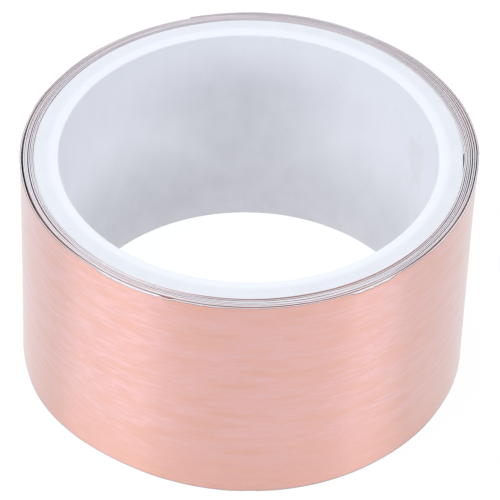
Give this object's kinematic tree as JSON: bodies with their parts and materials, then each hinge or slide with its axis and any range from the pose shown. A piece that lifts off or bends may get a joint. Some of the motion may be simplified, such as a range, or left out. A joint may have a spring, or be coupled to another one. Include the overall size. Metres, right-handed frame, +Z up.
{
  "type": "copper foil tape roll",
  "caption": "Roll of wide copper foil tape on a white plastic core: foil, adhesive and paper liner wound in one spiral, with a free end that lifts off and a bare liner tab.",
  "frame": {"origin": "on the core's axis, at the middle of the roll's flat base", "axes": "+Z up along the core's axis; +X and +Y across it, with the strip's free end on the +Y side; seen from +Z the strip winds outwards counter-clockwise"},
  "size_m": [0.0912, 0.0912, 0.0508],
  "materials": {
    "core_plastic": "satin",
    "start_tape": "matte",
    "copper_foil": "gloss",
    "adhesive": "gloss",
    "release_liner": "satin"
  },
  "bodies": {
    "roll": {"core": "core_plastic", "start_tape": "start_tape", "liner_winding": "release_liner", "adhesive_winding": "adhesive", "foil_inner_turns": "copper_foil", "foil_outer_turn": "copper_foil"},
    "tail_1": {"liner_tail_1": "release_liner", "adhesive_tail_1": "adhesive", "foil_tail_1": "copper_foil"},
    "tail_2": {"liner_tail_2": "release_liner", "adhesive_tail_2": "adhesive", "foil_tail_2": "copper_foil"},
    "tail_3": {"liner_tail_3": "release_liner", "adhesive_tail_3": "adhesive", "foil_tail_3": "copper_foil"},
    "tail_4": {"liner_tail_4": "release_liner", "adhesive_tail_4": "adhesive", "foil_tail_4": "copper_foil"},
    "tail_5": {"liner_tail_5": "release_liner", "adhesive_tail_5": "adhesive", "foil_tail_5": "copper_foil"},
    "tail_6": {"liner_tail_6": "release_liner", "adhesive_tail_6": "adhesive", "foil_tail_6": "copper_foil"},
    "tab_1": {"liner_tab_1": "release_liner"},
    "tab_2": {"liner_tab_2": "release_liner"},
    "tab_3": {"liner_tab_3": "release_liner"}
  },
  "joints": [
    {"name": "tail_unroll", "type": "hinge", "parent": "roll", "child": "tail_1", "pos_m": [0.04217, 0.0175, 0.0254], "axis": [0, 0, -1], "range_deg": [0, 10]},
    {"name": "tail_bend_2", "type": "hinge", "parent": "tail_1", "child": "tail_2", "pos_m": [0.03849, 0.02457, 0.0254], "axis": [0, 0, -1], "range_deg": [0, 10]},
    {"name": "tail_bend_3", "type": "hinge", "parent": "tail_2", "child": "tail_3", "pos_m": [0.03364, 0.03089, 0.0254], "axis": [0, 0, -1], "range_deg": [0, 10]},
    {"name": "tail_bend_4", "type": "hinge", "parent": "tail_3", "child": "tail_4", "pos_m": [0.02776, 0.03628, 0.0254], "axis": [0, 0, -1], "range_deg": [0, 10]},
    {"name": "tail_bend_5", "type": "hinge", "parent": "tail_4", "child": "tail_5", "pos_m": [0.02104, 0.04056, 0.0254], "axis": [0, 0, -1], "range_deg": [0, 10]},
    {"name": "tail_bend_6", "type": "hinge", "parent": "tail_5", "child": "tail_6", "pos_m": [0.01367, 0.04361, 0.0254], "axis": [0, 0, -1], "range_deg": [0, 10]},
    {"name": "tab_lift", "type": "hinge", "parent": "tail_6", "child": "tab_1", "pos_m": [0.00588, 0.04522, 0.0254], "axis": [0, 0, -1], "range_deg": [0, 30]},
    {"name": "tab_bend_2", "type": "hinge", "parent": "tab_1", "child": "tab_2", "pos_m": [-0.00047, 0.04561, 0.0254], "axis": [0, 0, -1], "range_deg": [0, 30]},
    {"name": "tab_bend_3", "type": "hinge", "parent": "tab_2", "child": "tab_3", "pos_m": [-0.00682, 0.04511, 0.0254], "axis": [0, 0, -1], "range_deg": [0, 30]}
  ],
  "couplings": [
    {"joint": "tail_bend_2", "follows": "tail_unroll", "ratio": 1},
    {"joint": "tail_bend_3", "follows": "tail_unroll", "ratio": 1},
    {"joint": "tail_bend_4", "follows": "tail_unroll", "ratio": 1},
    {"joint": "tail_bend_5", "follows": "tail_unroll", "ratio": 1},
    {"joint": "tail_bend_6", "follows": "tail_unroll", "ratio": 1},
    {"joint": "tab_bend_2", "follows": "tab_lift", "ratio": 1},
    {"joint": "tab_bend_3", "follows": "tab_lift", "ratio": 1}
  ]
}
